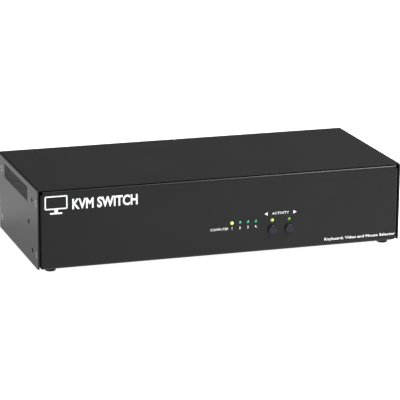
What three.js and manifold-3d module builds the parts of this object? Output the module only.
// A desktop switch that shares one keyboard, mouse and pair of monitors between four computers.
// Millimetres. +Z is up, +X is to the right seen from the front, and the front faces -Y.
// The origin lies on the surface that the feet stand on, under the middle of the case.
import * as THREE from "three";
import { mergeVertices } from "three/addons/utils/BufferGeometryUtils.js";
import Module from "manifold-3d";

const wasm = await Module();
wasm.setup();

// ---- Driving dimensions ----

const CASE = { width: 321.2, depth: 139, height: 68.4 };
const SHEET = 1.2; // thickness of the steel sheet
const BEND = 2; // outside radius of a bend in the sheet
const BEND_STEPS = 3; // straight facets in a bend
const COVER_SETBACK = 1; // how far the cover's front edge lies behind the front of the case
const PANEL_INSET = 0.3; // how far each panel lies inside the depth of the case
const SIDE_GAP = 0.9; // slots between the tray and the cover
const TOP_GAP = 0.6;
const CONTACT = 0.1; // gap where one piece rests on another
const SINK = 0.2; // how far a shape runs into the one it is joined to
const PROUD = 1.8; // how far the buttons and the jack collars stand out of their panels
const THROUGH = 4; // how far a cutting tool runs past both faces of a sheet
const FACETS = { small: 8, usual: 12, large: 16, fine: 20 }; // sides of round shapes
const HEXAGON = 6;

const FOOT = { radius: 4.65, height: 3, rounding: 0.9, fromSide: 12.1, fromFront: 8.5 };
const FOOT_PLUG = { neck: 1.7, barb: 2.5, tip: 1.2, hole: 2.1, rise: 2.6 };

const SIDE_FLANGE = { length: 24, height: 12 };
const TOP_FLANGE = 12;
const FLANGE_GAP = 1; // between the side flanges of the panels and those of the bottom

const COVER_SCREW = { shank: 1.5, head: 3.15, headHeight: 1.2, length: 5.6, hole: 1.75, sink: 3.35 };
const CROSS_RECESS = { reach: 1.9, width: 0.9, depth: 0.8 };
const COVER_SCREW_FROM_EDGE = 8.5;
const COVER_SCREW_Z = { upper: 58, lower: 14.2 };
const SIDE_HOLES = [
  { radius: 1.95, fromFront: 20, z: 58.3 },
  { radius: 1.95, fromFront: 20, z: 15.2 },
  { radius: 2.2, fromFront: 31.6, z: 36.9 },
];
const VENT = { columns: 19, rows: 3, pitch: 4.3, across: 3.3, middleY: 7.2, middleZ: 59.3 };
const REAR_NOTCH = { width: 1, length: 8 };

const LED = { radius: 1.5, rim: 1.95, hole: 1.65, length: 5.3, rimLength: 1, leg: 0.5, legPitch: 2.54 };
const LED_PROUD = 0.6;
const COMPUTER_LED = { firstX: 7.8, pitch: 7.06, z: 30 };
const ACTIVITY_LED_Z = 29.8;
const BUTTON_X = { left: 44, right: 59.2 };
const BUTTON_Z = 21.6;
const BUTTON = { radius: 3.75, hole: 4.15, rim: 5.3, rimLength: 1, rimPlay: 0.3, dome: 0.35, edge: 0.3 };
const BUTTON_POCKET = { radius: 2.1, depth: 0.8 };
const BUTTON_TRAVEL = 0.6;

const FRONT_BOARD = { left: -6, right: 76, bottom: 14.6, top: 38, face: -57 };
const FRONT_STUD = { x: [-2, 72], z: 24, acrossFlats: 5.5, neck: 1.4, neckProud: 2, hole: 1.7 };
const TACT = { side: 6, depth: 3.5, bore: 1.9, boreDepth: 2.6, floorGap: 0.2 };
const PLUNGER = { radius: 1.7, edge: 0.2 };

const BOARD = { width: 300, front: -48, rear: 62, thickness: 1.6 };
const MAIN_BOARD_RISE = 6.95; // from the tray's floor to the main board
const BOARD_PITCH = 31.6; // from the main board's top face to the video board's top face
const CHIP = { side: 30, height: 1.5 };
const BUFFER_CHIP = { main: { y: 38, side: 9 }, video: { y: 36, side: 12 } };
const SPACER = { x: 140, y: [-42, 45], acrossFlats: 5.5, neck: 1.5, hole: 1.8, head: 2.9, headHeight: 1.5 };
const SPACER_NUT = { height: 2.4, overScrew: 0.4 };
const HEATSINK = { side: 40, base: 3, fins: 9, finThickness: 1.6, height: 12 };
const HEATSINK_PLACE = { x: 12, y: 2 };
const LINK = { x: -70, y: 10, length: 42, width: 6, flange: 9, flangeHeight: 4 };
const RIBBON = { x: 35, width: 18, thickness: 1, bend: 4 };
const RIBBON_SOCKET = { width: 22, depth: 5, height: 6, z: 27.5, mainY: -36 };

const VIDEO_PORT = { width: 17.4, height: 6.8, depth: 15, wall: 0.7, chamfer: 2, cavity: 9 };
const VIDEO_TONGUE = { half: 5.4, below: 0.5, above: 1, setBack: 1.2 };
const USB_B_PORT = { width: 12, height: 11, depth: 16, wall: 1.7, chamfer: 1.6, cavity: 9 };
const USB_B_TONGUE = { half: 2.8, halfHeight: 1.6, setBack: 1 };
const USB_A_PORT = { width: 14.4, height: 15.8, depth: 17.5, wall: 0.9, mouth: 5.2, cavity: 12 };
const USB_A_TONGUE = { lip: 0.6, sideGap: 0.7, rise: 2.4, thickness: 1.8, setBack: 1.2 };
const JACK = { width: 9, height: 7, depth: 13.5, collar: 3.3, collarLength: 3.4, bore: 1.8, cavity: 11 };
const POWER_JACK = { width: 9.4, height: 11, depth: 14.5, bore: 3.1, cavity: 9.5, axisZ: 6.4 };
const POWER_PIN = { radius: 1, setBack: 1 };
const MODULAR_PORT = { width: 13.2, height: 13.4, depth: 16, cavity: 13 };
const MODULAR_MOUTH = { half: 4.9, floor: 2.4, ceiling: 9.2 };
const MODULAR_LATCH = [{ half: 3.1, rise: 1.3 }, { half: 1.8, rise: 2.8 }];
const SHELL_PROUD = 0.6; // how far a metal socket shell stands out of the rear panel
const CUTOUT_FIT = 0.4; // clearance round a socket in its cut-out
const FIRST_PORT_X = 144; // the ports are placed from here towards -X
const COMPUTER_PITCH = 48;
const COMPUTER_PORT = { video: 16, usb: 34, audio: 47 }; // steps from the start of a computer's group
const CONSOLE_PORT = { usb: 214, video: 238, audio: 256, power: 276 };

// ---- Worked-out places ----

const COMPUTERS = [1, 2, 3, 4];
const SIDES = { left: -1, right: 1 };
const ENDS = { front: -1, rear: 1 };
const FLOOR = FOOT.height; // underside of the tray
const TOP = FOOT.height + CASE.height;
const HALF_WIDTH = CASE.width / 2;
const HALF_DEPTH = CASE.depth / 2;
const COVER_FRONT = -HALF_DEPTH + COVER_SETBACK;
const TRAY_HALF_WIDTH = HALF_WIDTH - SHEET - SIDE_GAP;
const TRAY_TOP = TOP - SHEET - TOP_GAP;
const PANEL = HALF_DEPTH - PANEL_INSET; // distance of each panel's outer face from the middle
const PANEL_INSIDE = PANEL - SHEET;
const MAIN_BOARD_Z = FLOOR + SHEET + MAIN_BOARD_RISE + BOARD.thickness; // top faces of the boards
const VIDEO_BOARD_Z = MAIN_BOARD_Z + BOARD_PITCH;
const SCREW_Y = HALF_DEPTH - COVER_SCREW_FROM_EDGE;
const FRONT_BOARD_BACK = FRONT_BOARD.face + BOARD.thickness;
const TACT_FACE = FRONT_BOARD.face - CONTACT - TACT.depth;
const CAP_CROWN = -PANEL - PROUD;
const CAP_DEPTH = PROUD + SHEET + BUTTON.rimPlay + BUTTON.rimLength; // from the crown to the rim's back
const PLUNGER_TIP = CAP_CROWN + CAP_DEPTH - BUTTON_POCKET.depth + CONTACT;
const PLUNGER_END = TACT_FACE + TACT.boreDepth - BUTTON_TRAVEL - TACT.floorGap;

// ---- Materials ----

function material(color, roughness, metalness, opacity = 1) {
  return new THREE.MeshStandardMaterial({
    color,
    roughness,
    metalness,
    opacity,
    transparent: opacity < 1,
  });
}

const POWDER_COAT = material(0x2e2f33, 0.6, 0.2);
const ZINC = material(0x8f949c, 0.35, 0.9);
const NICKEL = material(0xb9bcc0, 0.3, 1);
const RUBBER = material(0x1b1b1c, 0.85, 0);
const CAP_PLASTIC = material(0x3a3940, 0.5, 0);
const BLACK_PLASTIC = material(0x161617, 0.5, 0);
const LIT_LENS = material(0xd8ff6a, 0.2, 0, 0.9);
const GREEN_LENS = material(0x2fae6c, 0.2, 0, 0.9);
const FIBREGLASS = material(0x1c5a36, 0.55, 0);
const ANODISED = material(0x26282b, 0.45, 0.8);
const RIBBON_GREY = material(0x9b9da1, 0.6, 0);

// ---- Shape tools ----

// Turns a closed geometry into a solid that can be joined and cut.
function solid(geometry) {
  const bare = geometry.index ? geometry.toNonIndexed() : geometry.clone();
  bare.deleteAttribute("normal");
  bare.deleteAttribute("uv");
  const merged = mergeVertices(bare, 1e-4);
  const vertProperties = merged.attributes.position.array;
  const triVerts = new Uint32Array(merged.index.array);
  return new wasm.Manifold(new wasm.Mesh({ numProp: 3, vertProperties, triVerts }));
}

function geometryOf(made) {
  const mesh = made.getMesh();
  const geometry = new THREE.BufferGeometry();
  geometry.setAttribute("position", new THREE.BufferAttribute(mesh.vertProperties, mesh.numProp));
  geometry.setIndex(new THREE.BufferAttribute(mesh.triVerts, 1));
  const facets = geometry.toNonIndexed();
  facets.computeVertexNormals();
  return facets;
}

function joined(pieces) {
  return pieces.reduce((whole, piece) => whole.add(piece));
}

function without(whole, tools) {
  return tools.reduce((left, tool) => left.subtract(tool), whole);
}

function block([x0, x1], [y0, y1], [z0, z1]) {
  const geometry = new THREE.BoxGeometry(x1 - x0, y1 - y0, z1 - z0);
  geometry.translate((x0 + x1) / 2, (y0 + y1) / 2, (z0 + z1) / 2);
  return solid(geometry);
}

// Turns that take a shape's own +Y axis to the named direction.
const TURN = {
  rear: new THREE.Euler(0, 0, 0),
  front: new THREE.Euler(Math.PI, 0, 0),
  up: new THREE.Euler(Math.PI / 2, 0, 0),
  left: new THREE.Euler(0, 0, Math.PI / 2),
  right: new THREE.Euler(0, 0, -Math.PI / 2),
};

// A round bar, or with few sides a hexagon, whose axis runs the named way through its middle.
function bar(radius, length, direction, [x, y, z], sides = FACETS.usual) {
  const geometry = new THREE.CylinderGeometry(radius, radius, length, sides);
  geometry.applyMatrix4(new THREE.Matrix4().makeRotationFromEuler(TURN[direction]));
  geometry.translate(x, y, z);
  return solid(geometry);
}

function hexRadius(acrossFlats) {
  return acrossFlats / Math.sqrt(3);
}

// A turned piece about +Y. The profile is a list of [radius, height] from one end of the axis to the other.
function turned(profile, sides = FACETS.usual) {
  const points = profile.map(([radius, height]) => new THREE.Vector2(radius, height));
  return solid(new THREE.LatheGeometry(points, sides));
}

// Axes for an outline drawn in the plane across the named axis, so that it is pushed along that axis.
const X = new THREE.Vector3(1, 0, 0);
const Y = new THREE.Vector3(0, 1, 0);
const Z = new THREE.Vector3(0, 0, 1);
const DRAWN_ACROSS = {
  x: new THREE.Matrix4().makeBasis(Y, Z, X), // drawn as (y, z)
  y: new THREE.Matrix4().makeBasis(X, Z, Y.clone().negate()), // drawn as (x, z)
  z: new THREE.Matrix4(), // drawn as (x, y)
};

function extruded(shape, axis, [from, to]) {
  const geometry = new THREE.ExtrudeGeometry(shape, { depth: to - from, bevelEnabled: false });
  geometry.applyMatrix4(DRAWN_ACROSS[axis]);
  const start = { x: [from, 0, 0], y: [0, to, 0], z: [0, 0, from] }[axis];
  geometry.translate(...start);
  return solid(geometry);
}

function outline(points) {
  return new THREE.Shape(points.map(([x, y]) => new THREE.Vector2(x, y)));
}

// The directions of the straight runs between the corners of a path.
function runsOf(corners) {
  return corners.slice(1).map((corner, i) => corner.clone().sub(corners[i]).normalize());
}

// A path whose right-angled corners are rounded.
function roundedPath(corners, radius) {
  const runs = runsOf(corners);
  return corners.flatMap((corner, i) => {
    if (i === 0 || i === corners.length - 1) return [corner];
    const into = runs[i - 1];
    const out = runs[i];
    const centre = corner.clone().addScaledVector(into, -radius).addScaledVector(out, radius);
    return Array.from({ length: BEND_STEPS + 1 }, (_, step) => {
      const angle = (step / BEND_STEPS) * (Math.PI / 2);
      const point = centre.clone().addScaledVector(into, radius * Math.sin(angle));
      return point.addScaledVector(out, -radius * Math.cos(angle));
    });
  });
}

// The section of a bent sheet, from the corners of its outer face. Every bend turns the same way.
function bentSheet(points, radius = BEND, thickness = SHEET) {
  const corners = points.map(([x, y]) => new THREE.Vector2(x, y));
  const runs = runsOf(corners);
  const last = corners.length - 1;
  const inner = corners.map((corner, i) => {
    const inward = new THREE.Vector2();
    if (i < last) inward.add(i === 0 ? runs[1] : runs[i]);
    if (i > 0) inward.sub(i === last ? runs[last - 2] : runs[i - 1]);
    return corner.clone().addScaledVector(inward, thickness);
  });
  return new THREE.Shape([
    ...roundedPath(corners, radius),
    ...roundedPath(inner, radius - thickness).reverse(),
  ]);
}

// ---- Sheet metal ----

// Front panel, bottom and rear panel in one fold, with a flange along the top of each panel.
function trayFold() {
  const section = bentSheet([
    [-PANEL + TOP_FLANGE, TRAY_TOP],
    [-PANEL, TRAY_TOP],
    [-PANEL, FLOOR],
    [PANEL, FLOOR],
    [PANEL, TRAY_TOP],
    [PANEL - TOP_FLANGE, TRAY_TOP],
  ]);
  const reach = TRAY_HALF_WIDTH - BEND;
  return extruded(section, "x", [-reach, reach]);
}

// The side flanges of one panel, which take the cover's screws. The corners stay open as bend reliefs.
function panelFlanges(end) {
  const tip = end * (PANEL - SIDE_FLANGE.length);
  const section = bentSheet([
    [-TRAY_HALF_WIDTH, tip],
    [-TRAY_HALF_WIDTH, end * PANEL],
    [TRAY_HALF_WIDTH, end * PANEL],
    [TRAY_HALF_WIDTH, tip],
  ]);
  return extruded(section, "z", [FLOOR + BEND, TRAY_TOP - BEND]);
}

// The low flanges along both sides of the bottom.
function floorFlanges() {
  const section = bentSheet([
    [-TRAY_HALF_WIDTH, FLOOR + SIDE_FLANGE.height],
    [-TRAY_HALF_WIDTH, FLOOR],
    [TRAY_HALF_WIDTH, FLOOR],
    [TRAY_HALF_WIDTH, FLOOR + SIDE_FLANGE.height],
  ]);
  const reach = PANEL - SIDE_FLANGE.length - FLANGE_GAP;
  return extruded(section, "y", [-reach, reach]);
}

// Hexagonal studs behind the front panel, with a neck that goes through the front board.
function frontStuds() {
  return FRONT_STUD.x.flatMap((x) => {
    const tip = FRONT_BOARD.face - CONTACT;
    const length = tip + PANEL_INSIDE + SHEET / 2;
    const neckLength = BOARD.thickness + FRONT_STUD.neckProud;
    const neckMiddle = tip - CONTACT + neckLength / 2;
    const post = hexRadius(FRONT_STUD.acrossFlats);
    return [
      bar(post, length, "rear", [x, tip - length / 2, FRONT_STUD.z], HEXAGON),
      bar(FRONT_STUD.neck, neckLength, "rear", [x, neckMiddle, FRONT_STUD.z], FACETS.small),
    ];
  });
}

function frontHoles() {
  const depth = SHEET + THROUGH;
  const ledHoles = lamps().map(({ x, z }) => bar(LED.hole, depth, "rear", [x, -PANEL, z]));
  const buttonHoles = Object.values(BUTTON_X).map((x) =>
    bar(BUTTON.hole, depth, "rear", [x, -PANEL, BUTTON_Z], FACETS.fine),
  );
  return [...ledHoles, ...buttonHoles];
}

function floorHoles() {
  const depth = SHEET + THROUGH;
  const feet = feetPlaces().map(({ x, y }) => bar(FOOT_PLUG.hole, depth, "up", [x, y, FLOOR]));
  const spacers = spacerPlaces().map(({ x, y }) => bar(SPACER.hole, depth, "up", [x, y, FLOOR]));
  return [...feet, ...spacers];
}

// Countersunk holes through the cover and the tray's flanges.
function coverScrewHoles() {
  const { hole, sink } = COVER_SCREW;
  const tool = turned([
    [0, -2 * THROUGH],
    [hole, -2 * THROUGH],
    [hole, -SHEET],
    [sink, 0],
    [sink, THROUGH],
    [0, THROUGH],
  ]);
  return Object.values(SIDES).flatMap((side) => {
    const outward = tool.rotate([0, 0, -90 * side]);
    return screwPlaces(side).map(({ y, z }) => outward.translate([side * HALF_WIDTH, y, z]));
  });
}

// Holes near the front of both sides, for the brackets of a rack.
function bracketHoles() {
  return Object.values(SIDES).flatMap((side) =>
    SIDE_HOLES.map(({ radius, fromFront, z }) =>
      bar(radius, 2 * THROUGH, "right", [side * HALF_WIDTH, fromFront - HALF_DEPTH, z]),
    ),
  );
}

function portCutouts() {
  return ports().map(({ kind, x, z }) => {
    const { width, height, round, axisZ } = kind.opening;
    if (round) return bar(round + CUTOUT_FIT, SHEET + THROUGH, "rear", [x, PANEL, z + axisZ], FACETS.large);
    const half = width / 2 + CUTOUT_FIT;
    return block(
      [x - half, x + half],
      [PANEL - SHEET - THROUGH / 2, PANEL + THROUGH / 2],
      [z - CUTOUT_FIT, z + height + CUTOUT_FIT],
    );
  });
}

function baseTray() {
  const folds = [trayFold(), panelFlanges(-1), panelFlanges(1), floorFlanges()];
  const body = joined([...folds, ...frontStuds()]);
  const holes = [...frontHoles(), ...floorHoles(), ...coverScrewHoles(), ...bracketHoles()];
  return without(body, [...holes, ...portCutouts()]);
}

// Hexagonal holes in staggered rows, cut through both sides at once.
function ventTools() {
  const rowPitch = VENT.pitch * Math.sin(Math.PI / 3);
  const tools = [];
  for (let row = 0; row < VENT.rows; row++) {
    const stagger = row % 2 ? VENT.pitch / 4 : -VENT.pitch / 4;
    const z = VENT.middleZ + (row - (VENT.rows - 1) / 2) * rowPitch;
    for (let column = 0; column < VENT.columns; column++) {
      const y = VENT.middleY + (column - (VENT.columns - 1) / 2) * VENT.pitch + stagger;
      tools.push(bar(hexRadius(VENT.across), CASE.width + THROUGH, "right", [0, y, z], HEXAGON));
    }
  }
  return tools;
}

// Top and both sides in one fold, with the vent fields and a small notch at the middle of the rear edge.
function topCover() {
  const section = bentSheet([
    [-HALF_WIDTH, FLOOR],
    [-HALF_WIDTH, TOP],
    [HALF_WIDTH, TOP],
    [HALF_WIDTH, FLOOR],
  ]);
  const fold = extruded(section, "y", [COVER_FRONT, HALF_DEPTH]);
  const notch = block(
    [-REAR_NOTCH.width / 2, REAR_NOTCH.width / 2],
    [HALF_DEPTH - REAR_NOTCH.length, HALF_DEPTH + THROUGH],
    [TOP - THROUGH, TOP + THROUGH],
  );
  return without(fold, [...ventTools(), ...coverScrewHoles(), ...bracketHoles(), notch]);
}

// ---- Screws and feet ----

function screwPlaces(side) {
  return Object.entries(ENDS).flatMap(([end, way]) =>
    Object.entries(COVER_SCREW_Z).map(([level, z]) => ({ end, level, side, y: way * SCREW_Y, z })),
  );
}

// A countersunk screw with a cross recess. The cover's outer face is at the origin, and +Y is outward.
function coverScrew() {
  const { shank, head, headHeight, length } = COVER_SCREW;
  const screw = turned([
    [0, -length],
    [shank, -length],
    [shank, -CONTACT - headHeight],
    [head, -CONTACT],
    [0, -CONTACT],
  ]);
  const { reach, width, depth } = CROSS_RECESS;
  const deep = [-CONTACT - depth, THROUGH];
  const recess = [
    block([-reach, reach], deep, [-width / 2, width / 2]),
    block([-width / 2, width / 2], deep, [-reach, reach]),
  ];
  return without(screw, recess);
}

function feetPlaces() {
  const x = HALF_WIDTH - FOOT.fromSide;
  const y = HALF_DEPTH - FOOT.fromFront;
  return Object.entries(ENDS).flatMap(([end, way]) =>
    Object.entries(SIDES).map(([side, sign]) => ({ end, side, x: sign * x, y: way * y })),
  );
}

// A rubber foot with a barbed plug that holds it in the bottom. +Y is up, from the surface it stands on.
function foot() {
  const { radius, height, rounding } = FOOT;
  const plugTop = height + SHEET + FOOT_PLUG.rise;
  const edge = [0, 1, 2].map((step) => {
    const angle = (step / 2) * (Math.PI / 2);
    return [radius - rounding + rounding * Math.sin(angle), rounding - rounding * Math.cos(angle)];
  });
  return turned(
    [
      [0, 0],
      ...edge,
      [radius, height - CONTACT],
      [FOOT_PLUG.neck, height - CONTACT],
      [FOOT_PLUG.neck, height + SHEET + CONTACT],
      [FOOT_PLUG.barb, height + SHEET + CONTACT],
      [FOOT_PLUG.tip, plugTop],
      [0, plugTop],
    ],
    FACETS.large,
  );
}

// ---- Front controls ----

function lamps() {
  const computers = COMPUTERS.map((number) => ({
    name: `computer_led_${number}`,
    x: COMPUTER_LED.firstX + (number - 1) * COMPUTER_LED.pitch,
    z: COMPUTER_LED.z,
    lit: number === 1,
  }));
  const activity = Object.entries(BUTTON_X).map(([side, x]) => ({
    name: `activity_led_${side}`,
    x,
    z: ACTIVITY_LED_Z,
    lit: side === "left",
  }));
  return [...computers, ...activity];
}

// A round LED with its rim and two legs. Its tip is at the origin, and +Y points out of the panel.
function led() {
  const { radius, rim, length, rimLength, leg, legPitch } = LED;
  const dome = [0, 1, 2].map((step) => {
    const angle = (step / 3) * (Math.PI / 2);
    return [radius * Math.cos(angle), -radius + radius * Math.sin(angle)];
  });
  const rimFront = -length + rimLength;
  const lens = turned([[0, -length], [rim, -length], [rim, rimFront], [radius, rimFront], ...dome, [0, 0]]);
  const legEnd = -PANEL - LED_PROUD - FRONT_BOARD.face + CONTACT;
  const legs = [-1, 1].map((way) => {
    const x = (way * legPitch) / 2;
    return block([x - leg / 2, x + leg / 2], [legEnd, -length + SINK], [-leg / 2, leg / 2]);
  });
  return joined([lens, ...legs]);
}

// A button cap. Its crown is at the origin, +Y points out of the panel, and a rim keeps it in its hole.
function buttonCap() {
  const { radius, rim, rimLength, dome, edge } = BUTTON;
  const pocket = BUTTON_POCKET.radius;
  const back = -CAP_DEPTH;
  return turned(
    [
      [0, back + BUTTON_POCKET.depth],
      [pocket, back + BUTTON_POCKET.depth],
      [pocket, back],
      [rim, back],
      [rim, back + rimLength],
      [radius, back + rimLength],
      [radius, -dome - edge],
      [radius - edge, -dome],
      [0, 0],
    ],
    FACETS.fine,
  );
}

// The switch's plunger, from the cap's pocket into the switch. Its outer end is at the origin.
function plunger() {
  const { radius, edge } = PLUNGER;
  const end = PLUNGER_TIP - PLUNGER_END;
  return turned([[0, end], [radius, end], [radius, -edge], [radius - edge, 0], [0, 0]]);
}

// A tact switch body. The middle of its front face is at the origin, and a bore there guides the plunger.
function tactSwitch() {
  const half = TACT.side / 2;
  const body = block([-half, half], [-TACT.depth, 0], [-half, half]);
  return body.subtract(bar(TACT.bore, 2 * TACT.boreDepth, "rear", [0, 0, 0]));
}

// ---- Boards ----

function frontBoard() {
  const { left, right, bottom, top, face } = FRONT_BOARD;
  const board = block([left, right], [face, FRONT_BOARD_BACK], [bottom, top]);
  const half = RIBBON_SOCKET.width / 2;
  const socket = block(
    [RIBBON.x - half, RIBBON.x + half],
    [FRONT_BOARD_BACK - SINK, FRONT_BOARD_BACK + RIBBON_SOCKET.depth],
    [RIBBON_SOCKET.z, RIBBON_SOCKET.z + RIBBON_SOCKET.height],
  );
  const holeAt = (x) => bar(FRONT_STUD.hole, THROUGH, "rear", [x, face, FRONT_STUD.z], FACETS.small);
  return without(board.add(socket), FRONT_STUD.x.map(holeAt));
}

function spacerPlaces() {
  return Object.entries(ENDS).flatMap(([end], row) =>
    Object.entries(SIDES).map(([side, sign]) => ({ end, side, x: sign * SPACER.x, y: SPACER.y[row] })),
  );
}

// A large board with its switch chip and smaller chips. Its top face is at z = 0.
function largeBoard(smallChips) {
  const half = BOARD.width / 2;
  const board = block([-half, half], [BOARD.front, BOARD.rear], [-BOARD.thickness, 0]);
  const chips = [{ x: HEATSINK_PLACE.x, y: HEATSINK_PLACE.y, side: CHIP.side }, ...smallChips];
  const packages = chips.map(({ x, y, side }) =>
    block([x - side / 2, x + side / 2], [y - side / 2, y + side / 2], [-SINK, CHIP.height]),
  );
  const holeAt = ({ x, y }) => bar(SPACER.hole, 2 * THROUGH, "up", [x, y, 0], FACETS.small);
  return without(joined([board, ...packages]), spacerPlaces().map(holeAt));
}

// Four buffer chips, one behind each computer's sockets.
function portChips({ y, side }) {
  return COMPUTERS.map((number) => ({ x: portX(computerStep(number, "video")), y, side }));
}

function mainBoard() {
  const half = RIBBON_SOCKET.width / 2;
  const socket = block(
    [RIBBON.x - half, RIBBON.x + half],
    [RIBBON_SOCKET.mainY - RIBBON_SOCKET.depth / 2, RIBBON_SOCKET.mainY + RIBBON_SOCKET.depth / 2],
    [-SINK, RIBBON_SOCKET.height],
  );
  return largeBoard(portChips(BUFFER_CHIP.main)).add(socket);
}

function videoBoard() {
  return largeBoard(portChips(BUFFER_CHIP.video));
}

// A column that carries both boards, with its screw from under the tray. Height 0 is the floor.
function boardSpacer() {
  const post = hexRadius(SPACER.acrossFlats);
  const mainUnder = MAIN_BOARD_Z - BOARD.thickness - FLOOR;
  const videoUnder = mainUnder + BOARD_PITCH;
  const nutTop = videoUnder + BOARD.thickness + SPACER_NUT.height;
  const upward = (radius, [low, high], sides) =>
    bar(radius, high - low, "up", [0, 0, (low + high) / 2], sides);
  return joined([
    upward(SPACER.head, [-SPACER.headHeight - CONTACT, -CONTACT], FACETS.usual),
    upward(SPACER.neck, [-SPACER.headHeight, nutTop - SPACER_NUT.overScrew], HEXAGON),
    upward(post, [SHEET + CONTACT, mainUnder - CONTACT], HEXAGON),
    upward(post, [mainUnder + BOARD.thickness + CONTACT, videoUnder - CONTACT], HEXAGON),
    upward(post, [videoUnder + BOARD.thickness + CONTACT, nutTop], HEXAGON),
  ]);
}

// A comb of fins on a base, pushed along Y. Its base is at z = 0.
function heatsink() {
  const { side, base, fins, finThickness, height } = HEATSINK;
  const pitch = (side - finThickness) / (fins - 1);
  const points = [[side / 2, 0], [-side / 2, 0]];
  for (let fin = 0; fin < fins; fin++) {
    const x = -side / 2 + fin * pitch;
    if (fin > 0) points.push([x, base]);
    points.push([x, height], [x + finThickness, height]);
    if (fin < fins - 1) points.push([x + finThickness, base]);
  }
  return extruded(outline(points), "y", [-side / 2, side / 2]);
}

// The tall connector between the boards: a wide foot, a slim body and a wide head.
function boardLink() {
  const height = BOARD_PITCH - BOARD.thickness - 2 * CONTACT;
  const { length, width, flange, flangeHeight } = LINK;
  const layer = (across, z) => block([-length / 2, length / 2], [-across / 2, across / 2], z);
  return joined([
    layer(flange, [0, flangeHeight]),
    layer(width, [0, height]),
    layer(flange, [height - flangeHeight, height]),
  ]);
}

// The ribbon cable, which leaves the front board's socket backwards and bends down into the main board's.
function ribbonCable() {
  const start = FRONT_BOARD_BACK + RIBBON_SOCKET.depth + CONTACT;
  const level = RIBBON_SOCKET.z + RIBBON_SOCKET.height / 2 + RIBBON.thickness / 2;
  const rear = RIBBON_SOCKET.mainY + RIBBON.thickness / 2;
  const section = bentSheet(
    [[start, level], [rear, level], [rear, MAIN_BOARD_Z + RIBBON_SOCKET.height + CONTACT]],
    RIBBON.bend,
    RIBBON.thickness,
  );
  return extruded(section, "x", [RIBBON.x - RIBBON.width / 2, RIBBON.x + RIBBON.width / 2]);
}

// ---- Rear sockets ----
// Each stands on its board at z = 0, its mouth is at y = 0 and faces +Y, and x = 0 is its middle.

// A rectangle whose two upper corners may be cut off.
function mouth([x0, x1], [z0, z1], leftCut, rightCut) {
  const points = [[x0, z0], [x1, z0]];
  points.push(...(rightCut ? [[x1, z1 - rightCut], [x1 - rightCut, z1]] : [[x1, z1]]));
  points.push(...(leftCut ? [[x0 + leftCut, z1], [x0, z1 - leftCut]] : [[x0, z1]]));
  return outline(points);
}

function videoPort() {
  const { width, height, depth, wall, chamfer, cavity } = VIDEO_PORT;
  const { half: across, below, above, setBack } = VIDEO_TONGUE;
  const half = width / 2;
  const middle = height / 2;
  const shell = extruded(mouth([-half, half], [0, height], 0, chamfer), "y", [-depth, 0]);
  const inside = mouth([-half + wall, half - wall], [wall, height - wall], 0, chamfer);
  const tongue = block([-across, across], [-cavity - SINK, -setBack], [middle - below, middle + above]);
  return shell.subtract(extruded(inside, "y", [-cavity, THROUGH])).add(tongue);
}

function usbBPort() {
  const { width, height, depth, wall, chamfer, cavity } = USB_B_PORT;
  const { half: across, halfHeight, setBack } = USB_B_TONGUE;
  const half = width / 2;
  const middle = height / 2;
  const shell = block([-half, half], [-depth, 0], [0, height]);
  const inside = mouth([-half + wall, half - wall], [wall, height - wall], chamfer, chamfer);
  const levels = [middle - halfHeight, middle + halfHeight];
  const tongue = block([-across, across], [-cavity - SINK, -setBack], levels);
  return shell.subtract(extruded(inside, "y", [-cavity, THROUGH])).add(tongue);
}

// Two sockets, one over the other, in one shell.
function usbAPort() {
  const { width, height, depth, wall, mouth: gap, cavity } = USB_A_PORT;
  const { lip, sideGap, rise, thickness, setBack } = USB_A_TONGUE;
  const half = width / 2;
  const across = half - wall - sideGap;
  let port = block([-half, half], [-depth, 0], [0, height]);
  for (const low of [wall + lip, height - wall - lip - gap]) {
    const inside = block([-half + wall, half - wall], [-cavity, THROUGH], [low, low + gap]);
    const levels = [low + rise, low + rise + thickness];
    const tongue = block([-across, across], [-cavity - SINK, -setBack], levels);
    port = port.subtract(inside).add(tongue);
  }
  return port;
}

function audioJack() {
  const { width, height, depth, collar, collarLength, bore, cavity } = JACK;
  const body = block([-width / 2, width / 2], [-depth, -collarLength], [0, height]);
  const middle = height / 2;
  const reach = collarLength + SINK;
  const neck = bar(collar, reach, "rear", [0, -reach / 2, middle], FACETS.large);
  return body.add(neck).subtract(bar(bore, 2 * cavity, "rear", [0, 0, middle]));
}

function powerJack() {
  const { width, height, depth, bore, cavity, axisZ } = POWER_JACK;
  const body = block([-width / 2, width / 2], [-depth, 0], [0, height]);
  const socket = body.subtract(bar(bore, 2 * cavity, "rear", [0, 0, axisZ], FACETS.large));
  const tip = -POWER_PIN.setBack;
  const root = -cavity - SINK;
  const pin = bar(POWER_PIN.radius, tip - root, "rear", [0, (tip + root) / 2, axisZ], FACETS.small);
  return socket.add(pin);
}

// A 6-way modular jack: a plug mouth with a stepped slot over it for the plug's latch.
function modularPort() {
  const { width, height, depth, cavity } = MODULAR_PORT;
  const { half, floor, ceiling } = MODULAR_MOUTH;
  const deep = [-cavity, THROUGH];
  const body = block([-width / 2, width / 2], [-depth, 0], [0, height]);
  const plug = block([-half, half], deep, [floor, ceiling]);
  const latch = MODULAR_LATCH.map((step) =>
    block([-step.half, step.half], deep, [ceiling - SINK, ceiling + step.rise]),
  );
  return without(body, [plug, ...latch]);
}

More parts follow.
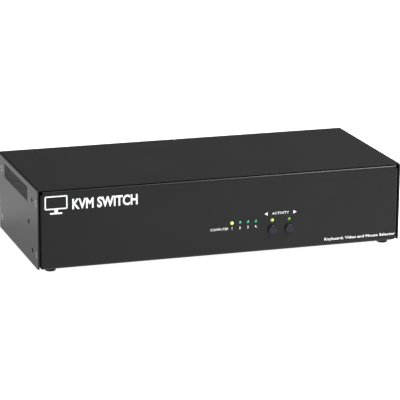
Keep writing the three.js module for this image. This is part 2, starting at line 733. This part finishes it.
// proud is how far the mouth stands out of the panel, and opening is what the panel is cut for.
const JACK_OPENING = { round: JACK.collar, axisZ: JACK.height / 2 };
const PORT_KINDS = {
  video: { make: videoPort, proud: SHELL_PROUD, opening: VIDEO_PORT, finish: NICKEL },
  usbB: { make: usbBPort, proud: SHELL_PROUD, opening: USB_B_PORT, finish: NICKEL },
  usbA: { make: usbAPort, proud: SHELL_PROUD, opening: USB_A_PORT, finish: NICKEL },
  audio: { make: audioJack, proud: PROUD, opening: JACK_OPENING, finish: BLACK_PLASTIC },
  power: { make: powerJack, proud: SHELL_PROUD, opening: POWER_JACK, finish: BLACK_PLASTIC },
  modular: { make: modularPort, proud: SHELL_PROUD, opening: MODULAR_PORT, finish: BLACK_PLASTIC },
};

function portX(step) {
  return FIRST_PORT_X - step;
}

function computerStep(number, port) {
  return (number - 1) * COMPUTER_PITCH + COMPUTER_PORT[port];
}

// Every rear socket: its name, its kind and where it stands. One row is on each board.
function ports() {
  const lower = MAIN_BOARD_Z + CONTACT;
  const upper = VIDEO_BOARD_Z + CONTACT;
  const port = (name, kind, step, z) => ({ name, kind: PORT_KINDS[kind], x: portX(step), z });
  const computers = COMPUTERS.flatMap((number) => [
    port(`computer_${number}_video_port_a`, "video", computerStep(number, "video"), lower),
    port(`computer_${number}_video_port_b`, "video", computerStep(number, "video"), upper),
    port(`computer_${number}_usb_port`, "usbB", computerStep(number, "usb"), lower),
    port(`computer_${number}_audio_jack`, "audio", computerStep(number, "audio"), lower),
  ]);
  return [
    ...computers,
    port("console_usb_ports", "usbA", CONSOLE_PORT.usb, lower),
    port("console_video_port_a", "video", CONSOLE_PORT.video, lower),
    port("console_video_port_b", "video", CONSOLE_PORT.video, upper),
    port("console_audio_jack", "audio", CONSOLE_PORT.audio, lower),
    port("power_jack", "power", CONSOLE_PORT.power, lower),
    port("service_port", "modular", CONSOLE_PORT.power, upper),
  ];
}

// ---- Assembly ----

function piece(name, made, finish, [x, y, z] = [0, 0, 0], direction = "rear") {
  const mesh = new THREE.Mesh(geometryOf(made), finish);
  mesh.name = name;
  mesh.position.set(x, y, z);
  mesh.rotation.copy(TURN[direction]);
  return mesh;
}

function enclosure() {
  const group = new THREE.Group();
  group.add(piece("base_tray", baseTray(), POWDER_COAT));
  group.add(piece("top_cover", topCover(), POWDER_COAT));
  const screw = coverScrew();
  for (const [sideName, side] of Object.entries(SIDES)) {
    for (const { end, level, y, z } of screwPlaces(side)) {
      const name = `cover_screw_${sideName}_${end}_${level}`;
      group.add(piece(name, screw, ZINC, [side * HALF_WIDTH, y, z], sideName));
    }
  }
  const rubberFoot = foot();
  for (const { end, side, x, y } of feetPlaces()) {
    group.add(piece(`foot_${end}_${side}`, rubberFoot, RUBBER, [x, y, 0], "up"));
  }
  return group;
}

function frontControls() {
  const group = new THREE.Group();
  group.add(piece("front_board", frontBoard(), FIBREGLASS));
  const lamp = led();
  for (const { name, x, z, lit } of lamps()) {
    group.add(piece(name, lamp, lit ? LIT_LENS : GREEN_LENS, [x, -PANEL - LED_PROUD, z], "front"));
  }
  for (const [side, x] of Object.entries(BUTTON_X)) {
    const at = (y) => [x, y, BUTTON_Z];
    group.add(piece(`${side}_button_cap`, buttonCap(), CAP_PLASTIC, at(CAP_CROWN), "front"));
    group.add(piece(`${side}_button_plunger`, plunger(), BLACK_PLASTIC, at(PLUNGER_TIP), "front"));
    group.add(piece(`${side}_tact_switch`, tactSwitch(), BLACK_PLASTIC, at(TACT_FACE), "front"));
  }
  return group;
}

function electronics() {
  const group = new THREE.Group();
  group.add(piece("main_board", mainBoard(), FIBREGLASS, [0, 0, MAIN_BOARD_Z]));
  group.add(piece("video_board", videoBoard(), FIBREGLASS, [0, 0, VIDEO_BOARD_Z]));
  for (const { end, side, x, y } of spacerPlaces()) {
    group.add(piece(`board_spacer_${end}_${side}`, boardSpacer(), NICKEL, [x, y, FLOOR]));
  }
  const { x, y } = HEATSINK_PLACE;
  const onChip = CHIP.height + CONTACT;
  group.add(piece("main_heatsink", heatsink(), ANODISED, [x, y, MAIN_BOARD_Z + onChip]));
  group.add(piece("video_heatsink", heatsink(), ANODISED, [x, y, VIDEO_BOARD_Z + onChip]));
  group.add(piece("board_link", boardLink(), BLACK_PLASTIC, [LINK.x, LINK.y, MAIN_BOARD_Z + CONTACT]));
  group.add(piece("ribbon_cable", ribbonCable(), RIBBON_GREY));
  return group;
}

function rearSockets() {
  const group = new THREE.Group();
  for (const { name, kind, x, z } of ports()) {
    group.add(piece(name, kind.make(), kind.finish, [x, PANEL + kind.proud, z]));
  }
  return group;
}

const kvmSwitch = new THREE.Group();
kvmSwitch.add(enclosure(), frontControls(), electronics(), rearSockets());

export default kvmSwitch;
